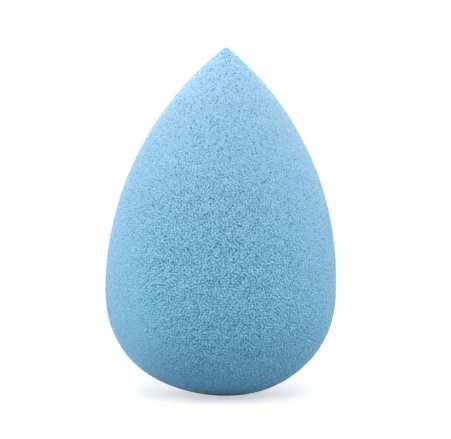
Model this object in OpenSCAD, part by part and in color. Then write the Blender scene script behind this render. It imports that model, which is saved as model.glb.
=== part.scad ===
// Makeup sponge: one teardrop of soft open-cell foam, the same all the way through.
// It is round about the Z axis, with the tip up and the origin at the middle of the flat foot.
// Lengths are in millimetres, and angles are in degrees.

/* [Foam] */
// Height from the foot to the tip
sponge_h = 60; // [55:1:75]
// Diameter at the belly, where the sponge is widest
belly_d = 40; // [34:1:46]
// Height of the belly above the foot
belly_h = 19; // [16:0.5:22]
// Radius that rounds off the tip
tip_r = 0.8; // [0.4:0.1:1.5]
// Share by which the base is fuller than half an ellipse, which is 0
base_fullness_share = 0.4; // [0:0.05:1]

/* [Foot] */
// Diameter of the flat foot that the sponge stands on
foot_d = 6; // [4:0.5:12]

/* [Hidden] */
$fn = 96;

// Bands that make up each stretch of the outline
tip_bands = 6;
flank_bands = 44;
base_bands = 30;

belly_r = belly_d / 2;

// The flank is one arc that is upright at the belly and runs smoothly into the round tip
tip_centre_h = sponge_h - tip_r;
flank_rise = tip_centre_h - belly_h;
flank_r = (belly_r ^ 2 - tip_r ^ 2 + flank_rise ^ 2) / (2 * (belly_r - tip_r));
flank_end_angle = atan2(flank_rise, flank_r - belly_r);

// The base is part of a fuller ellipse, cut off level where it is as wide as the foot
base_power = 2 / (2 + base_fullness_share);
foot_angle = acos(foot_d / belly_d);

// Point on an arc of radius r about [x, z], at angle a above level
function arc_point(x, z, r, a) = [x + r * cos(a), z + r * sin(a)];

// Height of the base's outline, where angle a runs from 0 at the belly to foot_angle at the foot
function base_height(a) = belly_h * (1 - (sin(a) / sin(foot_angle)) ^ base_power);

tip_points = [
    for (i = [0 : tip_bands - 1])
        arc_point(0, tip_centre_h, tip_r, 90 - (90 - flank_end_angle) * i / tip_bands)
];

flank_points = [
    for (i = [0 : flank_bands - 1])
        arc_point(belly_r - flank_r, belly_h, flank_r, flank_end_angle * (1 - i / flank_bands))
];

base_points = [
    for (i = [0 : base_bands])
        let (a = foot_angle * i / base_bands)
        [belly_r * cos(a), base_height(a)]
];

// The whole sponge, turned from half of its outline
module foam_body() {
    color("skyblue")
    rotate_extrude()
    polygon(concat([[0, 0]], tip_points, flank_points, base_points));
}

foam_body();
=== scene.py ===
"""A makeup sponge: one teardrop of soft open-cell foam, standing on its small flat foot.

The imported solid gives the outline. An icosphere with over a million small faces is laid on
that outline, and the foam's pores are then cut into it, so that each one is part of the mesh.
Only the cells that are too fine for the mesh are in the material.
All lengths in the dataclasses are in metres, but for the camera's own.
"""

import itertools
import logging
import math
from dataclasses import dataclass, field
from enum import Enum

import bmesh
import bpy
import numpy as np
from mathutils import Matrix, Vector


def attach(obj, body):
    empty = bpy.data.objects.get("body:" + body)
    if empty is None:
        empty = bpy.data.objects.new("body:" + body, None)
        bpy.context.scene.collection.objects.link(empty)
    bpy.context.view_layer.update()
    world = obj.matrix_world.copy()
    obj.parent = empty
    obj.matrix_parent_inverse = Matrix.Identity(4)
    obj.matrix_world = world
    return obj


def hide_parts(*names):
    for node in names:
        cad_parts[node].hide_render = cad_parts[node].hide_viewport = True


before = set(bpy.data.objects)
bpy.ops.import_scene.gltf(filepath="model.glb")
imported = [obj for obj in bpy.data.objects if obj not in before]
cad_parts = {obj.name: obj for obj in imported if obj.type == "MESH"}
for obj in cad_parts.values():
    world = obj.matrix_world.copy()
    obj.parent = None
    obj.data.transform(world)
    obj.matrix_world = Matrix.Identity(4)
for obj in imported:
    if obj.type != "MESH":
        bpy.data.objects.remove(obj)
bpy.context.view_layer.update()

LOG = logging.getLogger("sponge")
MM = 0.001
WHITE = (1.0, 1.0, 1.0, 1.0)

# Height of a triangle with three equal sides, as a share of a side
TRIANGLE_RISE = math.sqrt(3) / 2
# Decimal places, in metres, to which the solid's bands are told apart by height
HEIGHT_DIGITS = 6
# Least distance from the axis, so that nothing is divided by zero at the poles
NEARLY_ZERO = 1e-9


def eased(share: np.ndarray) -> np.ndarray:
    """Returns shares from 0 to 1 with a soft start and a soft end."""
    return share**2 * (3 - 2 * share)


def ripple(
    places: np.ndarray,
    wavelength: float,
    seed: int,
    waves: int = 12,
    spread: tuple[float, float] = (0.7, 1.5),
) -> np.ndarray:
    """Works out smooth random unevenness, made of plane waves in random directions.

    Args:
        places: points in space, one row each.
        wavelength: typical length of a wave.
        seed: seed for the waves.
        waves: number of waves for each of the three parts.
        spread: shortest and longest wave, as shares of the typical length.

    Returns:
        A vector for each point, with parts of about unit size.
    """
    chance = np.random.default_rng(seed)
    way = chance.normal(size=(3, waves, 3))
    way /= np.linalg.norm(way, axis=2)[:, :, None]
    way *= 2 * math.pi / (wavelength * chance.uniform(*spread, (3, waves, 1)))
    start = chance.uniform(0, 2 * math.pi, (3, waves))
    parts = [np.sin(places @ way[i].T + start[i]).sum(1) for i in range(3)]
    return np.stack(parts, 1) * math.sqrt(2 / waves)


class Side(Enum):
    """Where a softbox stands, as the direction from the sponge to it."""

    ABOVE = (0.0, 0.0, 1.0)
    LEFT = (-1.0, 0.0, 0.25)
    RIGHT = (1.0, 0.0, 0.25)
    BEHIND = (0.0, 1.0, 0.35)
    FRONT_ABOVE = (0.0, -1.0, 1.0)


def link(piece: bpy.types.Object) -> bpy.types.Object:
    """Puts an object in the scene and returns it."""
    bpy.context.scene.collection.objects.link(piece)
    return piece


def coordinates(mesh: bpy.types.Mesh) -> np.ndarray:
    """Reads where a mesh's vertices are.

    Args:
        mesh: the mesh to read.

    Returns:
        The places of the vertices, one row each.
    """
    places = np.empty(len(mesh.vertices) * 3, np.float32)
    mesh.vertices.foreach_get("co", places)
    return places.reshape(-1, 3).astype(float)


def background_rays(
    nodes: bpy.types.Nodes, links: bpy.types.NodeLinks
) -> bpy.types.NodeSocket:
    """Adds nodes that pick out the rays that see the white background.

    Args:
        nodes: nodes of a material or of the world.
        links: links between them.

    Returns:
        The socket that is 1 for camera, glossy and transmission rays, and 0 for others.
    """
    path = nodes.new("ShaderNodeLightPath")
    seen = path.outputs["Is Camera Ray"]
    for name in ("Is Glossy Ray", "Is Transmission Ray"):
        either = nodes.new("ShaderNodeMath")
        either.operation = "MAXIMUM"
        links.new(seen, either.inputs[0])
        links.new(path.outputs[name], either.inputs[1])
        seen = either.outputs["Value"]
    return seen


@dataclass(frozen=True)
class Outline:
    """Half of the sponge's outline, from the tip round to the middle of the foot.

    Attributes:
        radius: distance of each point from the axis.
        height: height of each point above the foot.
        run: length of the outline from the tip to each point.
        across: outward part of the surface's normal at each point.
        upward: upward part of the surface's normal at each point.
        share: share of the whole surface that lies above each point.
    """

    radius: np.ndarray
    height: np.ndarray
    run: np.ndarray
    across: np.ndarray
    upward: np.ndarray
    share: np.ndarray

    @classmethod
    def of_solid(
        cls, solid: bpy.types.Object, steps: int = 4000, foot_steps: int = 200
    ) -> "Outline":
        """Reads the outline from a round solid's mesh and smooths the corners of its bands.

        Args:
            solid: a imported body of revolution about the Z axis.
            steps: number of points from the tip to the edge of the foot.
            foot_steps: number of points from there to the middle of the foot.

        Returns:
            The outline of that solid.
        """
        places = coordinates(solid.data)
        levels, level = np.unique(places[:, 2].round(HEIGHT_DIGITS), return_inverse=True)
        reach = np.zeros(len(levels))
        np.maximum.at(reach, level, np.hypot(places[:, 0], places[:, 1]))
        knots = np.stack([reach, levels], 1)[::-1]
        knots[0, 0] = 0.0
        curve = cls._smooth(knots, steps)
        foot = np.linspace(curve[-1], (0.0, 0.0), foot_steps)[1:]
        curve = np.concatenate([curve, foot])
        step = np.linalg.norm(np.diff(curve, axis=0), axis=1)
        run = np.concatenate([[0.0], np.cumsum(step)])
        along = np.gradient(curve, run, axis=0)
        along /= np.linalg.norm(along, axis=1)[:, None]
        band = (curve[1:, 0] + curve[:-1, 0]) * step
        share = np.concatenate([[0.0], np.cumsum(band)]) / band.sum()
        return cls(curve[:, 0], curve[:, 1], run, -along[:, 1], along[:, 0], share)

    @staticmethod
    def _smooth(knots: np.ndarray, steps: int) -> np.ndarray:
        """Runs a cubic curve through the knots, with tangents that their neighbours give.

        Args:
            knots: points that the curve passes through, one row each.
            steps: number of points on the curve.

        Returns:
            The points on the curve, evenly apart, one row each.
        """
        run = np.concatenate([[0.0], np.cumsum(np.linalg.norm(np.diff(knots, axis=0), axis=1))])
        tangent = np.gradient(knots, run, axis=0)
        at = np.linspace(0.0, run[-1], steps)
        piece = np.clip(np.searchsorted(run, at) - 1, 0, len(run) - 2)
        length = (run[piece + 1] - run[piece])[:, None]
        t = (at - run[piece])[:, None] / length
        start = (1 + 2 * t) * (1 - t) ** 2 * knots[piece]
        leave = t * (1 - t) ** 2 * length * tangent[piece]
        arrive = t**2 * (t - 1) * length * tangent[piece + 1]
        end = eased(t) * knots[piece + 1]
        return start + leave + arrive + end


@dataclass(frozen=True)
class Rings:
    """Middles laid evenly over the sponge in rings, each of which strays a little from its seat.

    Attributes:
        row: distance along the outline from one ring to the next.
        count: number of middles in each ring.
        first: number of the first middle of each ring.
        turn: how far each ring is turned, as a share of the step between its middles.
        run: length of the outline from the tip to each middle.
        middles: places of the middles, one row each.
    """

    row: float
    count: np.ndarray
    first: np.ndarray
    turn: np.ndarray
    run: np.ndarray
    middles: np.ndarray

    @classmethod
    def laid(
        cls, outline: Outline, spacing: float, scatter_share: float, chance: np.random.Generator
    ) -> "Rings":
        """Lays the rings.

        Args:
            outline: half outline of the sponge.
            spacing: distance between neighbouring middles.
            scatter_share: how far a middle may stray, as a share of the spacing.
            chance: source of the random draws.

        Returns:
            The rings from the tip to the middle of the foot.
        """
        row = spacing * TRIANGLE_RISE
        level = np.arange(row / 2, outline.run[-1], row)
        count = np.interp(level, outline.run, outline.radius) * 2 * math.pi / spacing
        count = np.maximum(count.round().astype(int), 1)
        first = np.concatenate([[0], np.cumsum(count)])
        ring = np.repeat(np.arange(len(level)), count)
        stray = chance.uniform(-scatter_share, scatter_share, (first[-1], 2))
        turn = chance.random(len(level))
        run = np.clip(level[ring] + stray[:, 0] * row, 0, outline.run[-1])
        seat = np.arange(first[-1]) - first[ring] + 0.5
        angle = 2 * math.pi * (seat + turn[ring] + stray[:, 1]) / count[ring]
        radius = np.interp(run, outline.run, outline.radius)
        height = np.interp(run, outline.run, outline.height)
        middles = np.stack([radius * np.cos(angle), radius * np.sin(angle), height], 1)
        return cls(row, count, first, turn, run, middles)

    def near(self, places: np.ndarray, run: np.ndarray) -> list[np.ndarray]:
        """Finds the middles round each point.

        Args:
            places: points of the sponge, one row each.
            run: length of the outline from the tip to each point.

        Returns:
            Nine arrays, for three middles in each of three rings, with a middle's number for
            each point.
        """
        share = np.arctan2(places[:, 1], places[:, 0]) / (2 * math.pi)
        found = []
        for rise, side in itertools.product((-1, 0, 1), repeat=2):
            ring = np.clip((run / self.row).astype(int) + rise, 0, len(self.count) - 1)
            seat = np.floor(share * self.count[ring] - self.turn[ring]).astype(int) + side
            found.append(seat % self.count[ring] + self.first[ring])
        return found

    def settle(self, places: np.ndarray, near: list[np.ndarray]) -> None:
        """Moves each middle to the middle of the points that are nearest to it.

        Args:
            places: points of the sponge, one row each.
            near: the middles round each point.
        """
        nearest = np.full(len(places), np.inf)
        owner = np.zeros(len(places), int)
        for index in near:
            gap = places - self.middles[index]
            distance = np.einsum("ij,ij->i", gap, gap)
            owner = np.where(distance < nearest, index, owner)
            nearest = np.minimum(distance, nearest)
        held = np.bincount(owner, minlength=len(self.middles))
        for axis in range(3):
            total = np.bincount(owner, weights=places[:, axis], minlength=len(self.middles))
            self.middles[held > 0, axis] = total[held > 0] / held[held > 0]


@dataclass(frozen=True)
class Pores:
    """One size of open pore in the foam, each a round bowl.

    Attributes:
        spacing: distance between neighbouring pores' middles.
        scatter_share: how far a middle may stray from its even place, as a share of the spacing.
        smallest: radius of the smallest pore.
        largest: radius of the largest pore.
        depth_share: depth of a pore, as a share of its radius.
        depth_scatter: how much deeper or shallower than that a pore may be, as a share of it.
        rim_power: power of the bowl's profile, where a lower one gives a steeper rim.
        tip_share: size of the pores at the tip, as a share of their full size.
        tip_reach: length of the outline over which the pores grow to their full size.
        seed: seed for the pores' places and sizes.
    """

    spacing: float
    scatter_share: float
    smallest: float
    largest: float
    depth_share: float
    depth_scatter: float
    rim_power: float
    tip_share: float
    tip_reach: float
    seed: int

    def depth_at(self, places: np.ndarray, run: np.ndarray, outline: Outline) -> np.ndarray:
        """Works out how deep the pores are at points of the surface.

        Args:
            places: points on the uncut surface, one row each.
            run: length of the outline from the tip to each point.
            outline: half outline of the sponge.

        Returns:
            The depth at each point, which is 0 on the land between the pores.
        """
        chance = np.random.default_rng(self.seed)
        rings = Rings.laid(outline, self.spacing, self.scatter_share, chance)
        near = rings.near(places, run)
        rings.settle(places, near)
        draw = chance.random((len(rings.middles), 2))
        grown = np.clip(rings.run / self.tip_reach, 0, 1)
        grown = self.tip_share + (1 - self.tip_share) * eased(grown)
        wide = (self.smallest + (self.largest - self.smallest) * draw[:, 0]) * grown
        deep = wide * self.depth_share * (1 + self.depth_scatter * (2 * draw[:, 1] - 1))
        depth = np.zeros(len(places))
        for index in near:
            gap = places - rings.middles[index]
            inside = 1 - np.einsum("ij,ij->i", gap, gap) / wide[index] ** 2
            depth = np.maximum(depth, deep[index] * np.maximum(inside, 0) ** self.rim_power)
        return depth


@dataclass(frozen=True)
class FoamFinish:
    """How the dyed foam looks.

    Attributes:
        strut_low_painted_shade: colour of the struts at the foot, deeper with painted shade, as
            linear red, green, blue and alpha.
        strut_high: colour of the struts at the neck, below the tip.
        strut_tip_painted_light: colour of the struts at the tip, paler with painted light for the
            light that comes through the thin foam there.
        pore_low_painted_shade: painted shade at the bottom of a pore near the foot.
        pore_high_painted_shade: painted shade at the bottom of a pore at the neck and above it.
        neck_height: height of the neck.
        tip_height: height at which the foam has the tip's colours.
        cell: size of the finest cells, which are too small for the mesh.
        cell_wall: distance from a fine cell's wall at which it has its full depth.
        cell_depth: depth of the fine cells.
        cell_shade_share: how much of the full painted pore shade a fine cell takes.
        grain: size of the fine unevenness on the struts.
        grain_octaves: how many finer layers that unevenness has.
        grain_depth: depth of the unevenness.
        grain_strength: how much of that depth shows.
        roughness: least and greatest roughness.
        sheen: weight of the pale sheen of the strut ends.
        sheen_roughness: roughness of that sheen.
        specular: specular level.
    """

    strut_low_painted_shade: tuple[float, float, float, float] = (0.165, 0.455, 0.64, 1.0)
    strut_high: tuple[float, float, float, float] = (0.25, 0.435, 0.59, 1.0)
    strut_tip_painted_light: tuple[float, float, float, float] = (0.30, 0.505, 0.685, 1.0)
    pore_low_painted_shade: tuple[float, float, float, float] = (0.01, 0.215, 0.36, 1.0)
    pore_high_painted_shade: tuple[float, float, float, float] = (0.01, 0.175, 0.28, 1.0)
    neck_height: float = 50 * MM
    tip_height: float = 60 * MM
    cell: float = 0.22 * MM
    cell_wall: float = 0.06 * MM
    cell_depth: float = 0.03 * MM
    cell_shade_share: float = 0.55
    grain: float = 0.16 * MM
    grain_octaves: float = 2.0
    grain_depth: float = 0.08 * MM
    grain_strength: float = 0.4
    roughness: tuple[float, float] = (0.78, 0.95)
    sheen: float = 0.5
    sheen_roughness: float = 0.5
    specular: float = 0.62

    def material(self) -> bpy.types.Material:
        """Builds the foam's material, whose larger pores read the mesh's pore attribute, which
        holds their painted shade.

        Returns:
            The finished material.
        """
        made = bpy.data.materials.new("blue_foam")
        made.use_nodes = True
        nodes, links = made.node_tree.nodes, made.node_tree.links
        shader = nodes["Principled BSDF"]
        shader.inputs["Specular IOR Level"].default_value = self.specular
        shader.inputs["Sheen Weight"].default_value = self.sheen
        shader.inputs["Sheen Roughness"].default_value = self.sheen_roughness
        where = nodes.new("ShaderNodeTexCoord").outputs["Object"]
        cells = self._fine_cells(nodes, links, where)
        grain = self._fine_grain(nodes, links, where)
        links.new(self._dye_with_painted_shading(nodes, links, where, cells), shader.inputs["Base Color"])
        links.new(self._roughened(nodes, links, grain), shader.inputs["Roughness"])
        links.new(self._relief(nodes, links, cells, grain), shader.inputs["Normal"])
        return made

    def _fine_cells(
        self, nodes: bpy.types.Nodes, links: bpy.types.NodeLinks, where: bpy.types.NodeSocket
    ) -> bpy.types.NodeSocket:
        """Adds the finest cells, each of which is sunk by an amount of its own.

        Args:
            nodes: the material's nodes.
            links: the material's links.
            where: socket that gives the place on the foam.

        Returns:
            The socket that is 0 at a cell's wall and up to 1 in its middle.
        """
        walls = nodes.new("ShaderNodeTexVoronoi")
        walls.feature = "DISTANCE_TO_EDGE"
        walls.inputs["Scale"].default_value = 1 / self.cell
        links.new(where, walls.inputs["Vector"])
        sunk = nodes.new("ShaderNodeMapRange")
        sunk.interpolation_type = "SMOOTHSTEP"
        sunk.inputs["From Max"].default_value = self.cell_wall / self.cell
        links.new(walls.outputs["Distance"], sunk.inputs["Value"])
        cells = nodes.new("ShaderNodeTexVoronoi")
        cells.inputs["Scale"].default_value = 1 / self.cell
        links.new(where, cells.inputs["Vector"])
        chance = nodes.new("ShaderNodeSeparateColor")
        links.new(cells.outputs["Color"], chance.inputs["Color"])
        fine = nodes.new("ShaderNodeMath")
        fine.operation = "MULTIPLY"
        links.new(sunk.outputs["Result"], fine.inputs[0])
        links.new(chance.outputs["Red"], fine.inputs[1])
        return fine.outputs["Value"]

    def _fine_grain(
        self, nodes: bpy.types.Nodes, links: bpy.types.NodeLinks, where: bpy.types.NodeSocket
    ) -> bpy.types.NodeSocket:
        """Adds the fine unevenness on the struts.

        Args:
            nodes: the material's nodes.
            links: the material's links.
            where: socket that gives the place on the foam.

        Returns:
            The socket that gives the unevenness, from 0 to 1.
        """
        grain = nodes.new("ShaderNodeTexNoise")
        grain.inputs["Scale"].default_value = 1 / self.grain
        grain.inputs["Detail"].default_value = self.grain_octaves
        links.new(where, grain.inputs["Vector"])
        return grain.outputs["Fac"]

    def _dye_with_painted_shading(
        self,
        nodes: bpy.types.Nodes,
        links: bpy.types.NodeLinks,
        where: bpy.types.NodeSocket,
        cells: bpy.types.NodeSocket,
    ) -> bpy.types.NodeSocket:
        """Adds the blue dye with painted shade deeper in pores and fine cells and towards the foot,
        and painted light towards the tip.

        Args:
            nodes: the material's nodes.
            links: the material's links.
            where: socket that gives the place on the foam.
            cells: socket that gives how deep the fine cells are.

        Returns:
            The socket that gives the colour.
        """
        # Painted shade: the pores and the fine cells pull the colour towards the pores' painted
        # shade.
        pore = nodes.new("ShaderNodeAttribute")
        pore.attribute_name = "pore"
        shaded = nodes.new("ShaderNodeMath")
        shaded.operation = "MULTIPLY_ADD"
        shaded.inputs[1].default_value = self.cell_shade_share
        shaded.use_clamp = True
        links.new(cells, shaded.inputs[0])
        links.new(pore.outputs["Fac"], shaded.inputs[2])
        axes = nodes.new("ShaderNodeSeparateXYZ")
        links.new(where, axes.inputs["Vector"])
        raised = []
        for low, high in ((0, self.neck_height), (self.neck_height, self.tip_height)):
            part = nodes.new("ShaderNodeMapRange")
            part.inputs["From Min"].default_value, part.inputs["From Max"].default_value = low, high
            links.new(axes.outputs["Z"], part.inputs["Value"])
            raised.append(part.outputs["Result"])
        # The struts' colour has painted shade towards the foot and painted light towards the tip.
        strut = self._blend(nodes, links, raised[0], self.strut_low_painted_shade, self.strut_high)
        strut = self._blend(nodes, links, raised[1], strut, self.strut_tip_painted_light)
        # The pores' colour is painted shade, standing in for the shade in their hollows.
        hollow_shade = self._blend(nodes, links, raised[0], self.pore_low_painted_shade, self.pore_high_painted_shade)
        return self._blend(nodes, links, shaded.outputs["Value"], strut, hollow_shade)

    def _roughened(
        self, nodes: bpy.types.Nodes, links: bpy.types.NodeLinks, grain: bpy.types.NodeSocket
    ) -> bpy.types.NodeSocket:
        """Adds the roughness, which follows the grain.

        Args:
            nodes: the material's nodes.
            links: the material's links.
            grain: socket that gives the unevenness of the struts.

        Returns:
            The socket that gives the roughness.
        """
        rough = nodes.new("ShaderNodeMapRange")
        rough.inputs["To Min"].default_value, rough.inputs["To Max"].default_value = self.roughness
        links.new(grain, rough.inputs["Value"])
        return rough.outputs["Result"]

    def _relief(
        self,
        nodes: bpy.types.Nodes,
        links: bpy.types.NodeLinks,
        cells: bpy.types.NodeSocket,
        grain: bpy.types.NodeSocket,
    ) -> bpy.types.NodeSocket:
        """Adds the relief that is too fine for the mesh: the cells, and the grain over them.

        Args:
            nodes: the material's nodes.
            links: the material's links.
            cells: socket that gives how deep the fine cells are.
            grain: socket that gives the unevenness of the struts.

        Returns:
            The socket that gives the normal.
        """
        dents = nodes.new("ShaderNodeBump")
        dents.invert = True
        dents.inputs["Distance"].default_value = self.cell_depth
        links.new(cells, dents.inputs["Height"])
        bump = nodes.new("ShaderNodeBump")
        bump.inputs["Strength"].default_value = self.grain_strength
        bump.inputs["Distance"].default_value = self.grain_depth
        links.new(grain, bump.inputs["Height"])
        links.new(dents.outputs["Normal"], bump.inputs["Normal"])
        return bump.outputs["Normal"]

    @staticmethod
    def _blend(
        nodes: bpy.types.Nodes,
        links: bpy.types.NodeLinks,
        factor: bpy.types.NodeSocket,
        first: tuple[float, float, float, float] | bpy.types.NodeSocket,
        second: tuple[float, float, float, float] | bpy.types.NodeSocket,
    ) -> bpy.types.NodeSocket:
        """Adds a node that mixes two colours.

        Args:
            nodes: the material's nodes.
            links: the material's links.
            factor: socket that gives the second colour's share.
            first: the first colour, or a socket that gives it.
            second: the second colour, or a socket that gives it.

        Returns:
            The socket that gives the mixed colour.
        """
        mixer = nodes.new("ShaderNodeMix")
        mixer.data_type = "RGBA"
        links.new(factor, mixer.inputs["Factor"])
        for name, colour in (("A", first), ("B", second)):
            if isinstance(colour, tuple):
                mixer.inputs[name].default_value = colour
            else:
                links.new(colour, mixer.inputs[name])
        return mixer.outputs["Result"]


@dataclass
class FoamBody:
    """The sponge itself: one block of foam.

    Attributes:
        lean: how far the tip stands to the right of the belly.
        belly_share: how far the belly stands to the left of the axis, as a share of the lean.
        foot_shift: how far the foot stands to the right of the belly.
        foot_reach: height up to which the foam follows the foot.
        pore_shade_start: depth at which a pore's painted shade starts.
        pore_shade_full: depth at which it has its full painted shade.
        subdivisions: how often the icosphere's faces are divided.
        warp: how far the pores are pushed out of round.
        warp_length: length over which that push changes.
        warp_seed: seed for that push.
        calm: how much shallower the pores are in the calmest patches, as a share of their depth.
        calm_painted_shade: even share of painted pore shade that the calmest patches have besides,
            standing in for the shade that their shallower pores don't cast, which keeps their tone
            like that of the rest.
        patch_length: length over which calm and lively patches follow each other.
        patch_seed: seed for the places of the patches.
        pores: the sizes of pore: those side by side all over, narrow deep ones between them,
            and a few wide ones.
        finish: how the foam looks.
    """

    lean: float = 0.9 * MM
    belly_share: float = 0.4
    foot_shift: float = 0.9 * MM
    foot_reach: float = 5.5 * MM
    pore_shade_start: float = 0.055 * MM
    pore_shade_full: float = 0.30 * MM
    subdivisions: int = 9
    warp: float = 0.04 * MM
    warp_length: float = 0.5 * MM
    warp_seed: int = 5
    calm: float = 0.58
    calm_painted_shade: float = 0.32
    patch_length: float = 38 * MM
    patch_seed: int = 684
    pores: tuple[Pores, ...] = (
        Pores(
            spacing=0.49 * MM, scatter_share=0.42, smallest=0.215 * MM, largest=0.285 * MM,
            depth_share=0.98, depth_scatter=0.15, rim_power=1.2,
            tip_share=0.66, tip_reach=45 * MM, seed=11,
        ),
        Pores(
            spacing=0.64 * MM, scatter_share=0.60, smallest=0.08 * MM, largest=0.20 * MM,
            depth_share=1.80, depth_scatter=0.30, rim_power=0.7,
            tip_share=0.88, tip_reach=35 * MM, seed=5,
        ),
        Pores(
            spacing=2.20 * MM, scatter_share=0.80, smallest=0.17 * MM, largest=0.28 * MM,
            depth_share=1.00, depth_scatter=0.30, rim_power=0.8,
            tip_share=0.80, tip_reach=35 * MM, seed=8,
        ),
    )
    finish: FoamFinish = field(default_factory=FoamFinish)

    def build(self, outline: Outline) -> bpy.types.Object:
        """Makes the foam's mesh on the outline and dresses it.

        Args:
            outline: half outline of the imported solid.

        Returns:
            The foam piece, at its place in the frame.
        """
        mesh = bpy.data.meshes.new("foam")
        shape = bmesh.new()
        bmesh.ops.create_icosphere(shape, subdivisions=self.subdivisions, radius=1.0)
        shape.to_mesh(mesh)
        shape.free()
        directions = coordinates(mesh)
        directions /= np.linalg.norm(directions, axis=1)[:, None]
        places, outward, run = self._on_outline(directions, outline)
        bent = places + self.warp * ripple(places, self.warp_length, self.warp_seed)
        depth = np.maximum.reduce([size.depth_at(bent, run, outline) for size in self.pores])
        calmness = self._calmness(places)
        depth *= 1 - self.calm * calmness
        places -= outward * depth[:, None]
        places[:, 0] += self._drift(places[:, 2], outline)
        mesh.vertices.foreach_set("co", places.astype(np.float32).ravel())
        # The pore attribute is painted shade: darker deeper in the pores, plus an even share in
        # calm patches for the shade their shallower pores don't cast.
        pore = mesh.attributes.new("pore", "FLOAT", "POINT")
        shade = (depth - self.pore_shade_start) / (self.pore_shade_full - self.pore_shade_start)
        shade = np.clip(shade, 0, 1) + self.calm_painted_shade * calmness
        pore.data.foreach_set("value", shade.astype(np.float32))
        self._lay_map(mesh, directions)
        mesh.polygons.foreach_set("use_smooth", np.ones(len(mesh.polygons), bool))
        mesh.update()
        mesh.materials.append(self.finish.material())
        piece = link(bpy.data.objects.new("foam", mesh))
        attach(piece, "root")
        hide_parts("foam_body")
        LOG.info("deepest pore %.2f mm", depth.max() / MM)
        return piece

    def _calmness(self, places: np.ndarray) -> np.ndarray:
        """Returns how calm the foam is at each point, from 0 to 1, in wide soft patches."""
        swell = ripple(places, self.patch_length, self.patch_seed)[:, 0]
        return np.clip(0.5 + swell / 2, 0, 1)

    @staticmethod
    def _on_outline(
        directions: np.ndarray, outline: Outline
    ) -> tuple[np.ndarray, np.ndarray, np.ndarray]:
        """Lays points of a unit sphere on the sponge, so that equal areas stay equal.

        Args:
            directions: points of the unit sphere, one row each.
            outline: half outline of the sponge.

        Returns:
            The points on the sponge, the outward normals there, and the outline's length to them.
        """
        share = np.clip((1 - directions[:, 2]) / 2, 0, 1)
        curves = (outline.radius, outline.height, outline.run, outline.across, outline.upward)
        radius, height, run, across, upward = (
            np.interp(share, outline.share, values) for values in curves
        )
        level = np.hypot(directions[:, 0], directions[:, 1])
        turn = directions[:, :2] / np.maximum(level, NEARLY_ZERO)[:, None]
        places = np.column_stack([turn * radius[:, None], height])
        outward = np.column_stack([turn * across[:, None], upward])
        return places, outward / np.linalg.norm(outward, axis=1)[:, None], run

    def _drift(self, height: np.ndarray, outline: Outline) -> np.ndarray:
        """Works out how far the foam is moved to the right, because the real one isn't quite even.

        Args:
            height: heights above the floor.
            outline: half outline of the sponge.

        Returns:
            The distance for each height.
        """
        belly = outline.height[outline.radius.argmax()]
        above = np.clip((height - belly) / (outline.height.max() - belly), 0, 1)
        low = np.clip(1 - height / self.foot_reach, 0, 1)
        return self.lean * (above - self.belly_share) + self.foot_shift * low**2

    @staticmethod
    def _lay_map(mesh: bpy.types.Mesh, directions: np.ndarray, margin: float = 0.004) -> None:
        """Adds a map that the foam's colours can be baked through.

        The unit sphere is unfolded to a square through an octahedron, with equal areas kept.

        Args:
            mesh: the foam's mesh, all triangles.
            directions: where each vertex was on the unit sphere.
            margin: width of the map's free edge, as a share of the map.
        """
        corners = np.empty(len(mesh.loops), np.int32)
        mesh.loops.foreach_get("vertex_index", corners)
        at = directions[corners].reshape(-1, 3, 3)
        signs = np.where(at[:, :, :2] < 0, -1.0, 1.0)
        middle = at.mean(1)
        torn = (middle[:, 2] < 0) & (np.ptp(signs, axis=1) > 0).any(1)
        signs[torn] = np.where(middle[torn, None, :2] < 0, -1.0, 1.0)
        out = np.sqrt(np.maximum(1 - np.abs(at[:, :, 2]), 0))
        turn = np.arctan2(at[:, :, 1] * signs[:, :, 1], at[:, :, 0] * signs[:, :, 0]) * 2 / math.pi
        folded = np.stack([out * (1 - turn), out * turn], 2)
        folded = np.where(at[:, :, 2:] < 0, 1 - folded[:, :, ::-1], folded) * signs
        flat = 0.5 + folded * (0.5 - margin)
        layer = mesh.uv_layers.new(name="OFBake")
        layer.uv.foreach_set("vector", flat.astype(np.float32).ravel())


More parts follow.
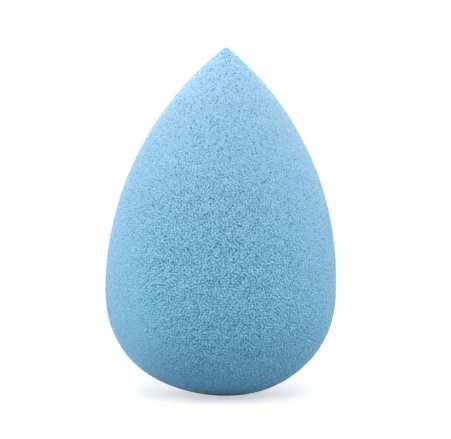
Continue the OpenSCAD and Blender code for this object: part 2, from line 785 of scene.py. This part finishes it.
@dataclass
class Studio:
    """The plain pale floor, the soft lamps, the background and the camera.

    Attributes:
        lens: the camera's focal length in millimetres.
        sensor_width: width of the camera's sensor in millimetres.
        clip_share: nearest distance that the camera sees, as a share of that to the sponge.
        elevation: how far above the horizon the camera looks from, in degrees.
        frame_width: width of the picture at the sponge.
        aim_height: height of the picture's middle on the sponge.
        aim_right: distance of the picture's middle to the right of the axis.
        lamp_size: length of each side of a softbox.
        lamp_distance: distance from the sponge to each softbox.
        lamps: power of each softbox, in watts.
        fill: weak plain light from all round.
        floor_reach: distance from the middle of the floor to its edges.
        floor_colour: colour of the floor, which lights the sponge from below.
        floor_seen: colour that the floor shows to rays that see the background.
        floor_glow: brightness that it shows them besides.
        floor_fade: distances from the sponge between which the floor turns plain white.
    """

    lens: float = 150.0
    sensor_width: float = 36.0
    clip_share: float = 0.02
    elevation: float = 4.0
    frame_width: float = 78.1 * MM
    aim_height: float = 30.3 * MM
    aim_right: float = 0.47 * MM
    lamp_size: float = 0.5
    lamp_distance: float = 0.6
    lamps: dict[Side, float] = field(
        default_factory=lambda: {
            Side.ABOVE: 1.8,
            Side.FRONT_ABOVE: 4.1,
            Side.LEFT: 3.4,
            Side.RIGHT: 2.7,
            Side.BEHIND: 3.8,
        }
    )
    fill: tuple[float, float, float, float] = (0.02, 0.025, 0.04, 1.0)
    floor_reach: float = 6.0
    floor_colour: tuple[float, float, float, float] = (0.39, 0.49, 0.56, 1.0)
    floor_seen: tuple[float, float, float, float] = (0.47, 0.47, 0.47, 1.0)
    floor_glow: float = 0.56
    floor_fade: tuple[float, float] = (0.05, 0.14)

    def build(self) -> None:
        """Makes the floor, the lamps, the background and the camera."""
        self._floor()
        for side, strength in self.lamps.items():
            self._softbox(side, strength)
        self._background()
        self._camera()

    def _floor(self) -> None:
        """Lays a wide pale floor that the camera sees as white with the sponge's soft shadow."""
        mesh = bpy.data.meshes.new("floor")
        shape = bmesh.new()
        bmesh.ops.create_grid(shape, x_segments=1, y_segments=1, size=self.floor_reach)
        shape.to_mesh(mesh)
        shape.free()
        mesh.materials.append(self._floor_material())
        link(bpy.data.objects.new("floor", mesh))

    def _floor_material(self) -> bpy.types.Material:
        """Builds the floor's material, which fades to plain white away from the sponge.

        Returns:
            The finished material.
        """
        made = bpy.data.materials.new("pale_floor")
        made.use_nodes = True
        nodes, links = made.node_tree.nodes, made.node_tree.links
        shader = nodes["Principled BSDF"]
        shader.inputs["Base Color"].default_value = self.floor_colour
        shader.inputs["Roughness"].default_value = 1.0
        shader.inputs["Specular IOR Level"].default_value = 0.0
        pale = nodes.new("ShaderNodeBsdfDiffuse")
        pale.inputs["Color"].default_value = self.floor_seen
        glow = nodes.new("ShaderNodeEmission")
        glow.inputs["Strength"].default_value = self.floor_glow
        both = nodes.new("ShaderNodeAddShader")
        links.new(pale.outputs["BSDF"], both.inputs[0])
        links.new(glow.outputs["Emission"], both.inputs[1])
        white = nodes.new("ShaderNodeEmission")
        where = nodes.new("ShaderNodeTexCoord")
        away = nodes.new("ShaderNodeVectorMath")
        away.operation = "LENGTH"
        links.new(where.outputs["Object"], away.inputs[0])
        far = nodes.new("ShaderNodeMapRange")
        far.interpolation_type = "SMOOTHSTEP"
        far.inputs["From Min"].default_value, far.inputs["From Max"].default_value = self.floor_fade
        links.new(away.outputs["Value"], far.inputs["Value"])
        faded = nodes.new("ShaderNodeMixShader")
        links.new(far.outputs["Result"], faded.inputs["Fac"])
        links.new(both.outputs["Shader"], faded.inputs[1])
        links.new(white.outputs["Emission"], faded.inputs[2])
        seen = nodes.new("ShaderNodeMixShader")
        links.new(background_rays(nodes, links), seen.inputs["Fac"])
        links.new(shader.outputs["BSDF"], seen.inputs[1])
        links.new(faded.outputs["Shader"], seen.inputs[2])
        links.new(seen.outputs["Shader"], nodes["Material Output"].inputs["Surface"])
        return made

    def _softbox(self, side: Side, strength: float) -> None:
        """Hangs one square softbox that faces the sponge.

        Args:
            side: where it stands.
            strength: its power in watts.
        """
        lamp = bpy.data.lights.new("softbox_" + side.name.lower(), "AREA")
        lamp.shape = "SQUARE"
        lamp.size = self.lamp_size
        lamp.energy = strength
        holder = link(bpy.data.objects.new(lamp.name, lamp))
        away = Vector(side.value).normalized()
        holder.location = Vector((0, 0, self.aim_height)) + away * self.lamp_distance
        holder.rotation_euler = away.to_track_quat("Z", "Y").to_euler()
        holder.visible_camera = False

    def _background(self) -> None:
        """Makes the world white to the camera and a weak plain fill to everything else."""
        world = bpy.data.worlds.new("studio")
        bpy.context.scene.world = world
        world.use_nodes = True
        nodes, links = world.node_tree.nodes, world.node_tree.links
        white = nodes["Background"]
        white.inputs["Color"].default_value = WHITE
        fill = nodes.new("ShaderNodeBackground")
        fill.inputs["Color"].default_value = self.fill
        seen = nodes.new("ShaderNodeMixShader")
        links.new(background_rays(nodes, links), seen.inputs["Fac"])
        links.new(fill.outputs["Background"], seen.inputs[1])
        links.new(white.outputs["Background"], seen.inputs[2])
        links.new(seen.outputs["Shader"], nodes["World Output"].inputs["Surface"])

    def _camera(self) -> None:
        """Sets up the camera at the photograph's viewing angle and framing."""
        data = bpy.data.cameras.new("camera")
        data.lens = self.lens
        data.sensor_width = self.sensor_width
        distance = self.frame_width * self.lens / self.sensor_width
        rise = math.radians(self.elevation)
        back = Vector((0.0, -math.cos(rise), math.sin(rise)))
        camera = link(bpy.data.objects.new("camera", data))
        camera.location = Vector((self.aim_right, 0.0, self.aim_height)) + back * distance
        camera.rotation_euler = back.to_track_quat("Z", "Y").to_euler()
        data.clip_start = distance * self.clip_share
        bpy.context.scene.camera = camera


def main() -> None:
    """Builds the studio and the sponge, and reports the piece."""
    logging.basicConfig(level=logging.INFO, format="%(name)s: %(message)s")
    bpy.context.scene.view_settings.view_transform = "Standard"
    Studio().build()
    piece = FoamBody().build(Outline.of_solid(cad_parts["foam_body"]))
    LOG.info("%s: %d faces", piece.name, len(piece.data.polygons))


if __name__ == "__main__":
    main()
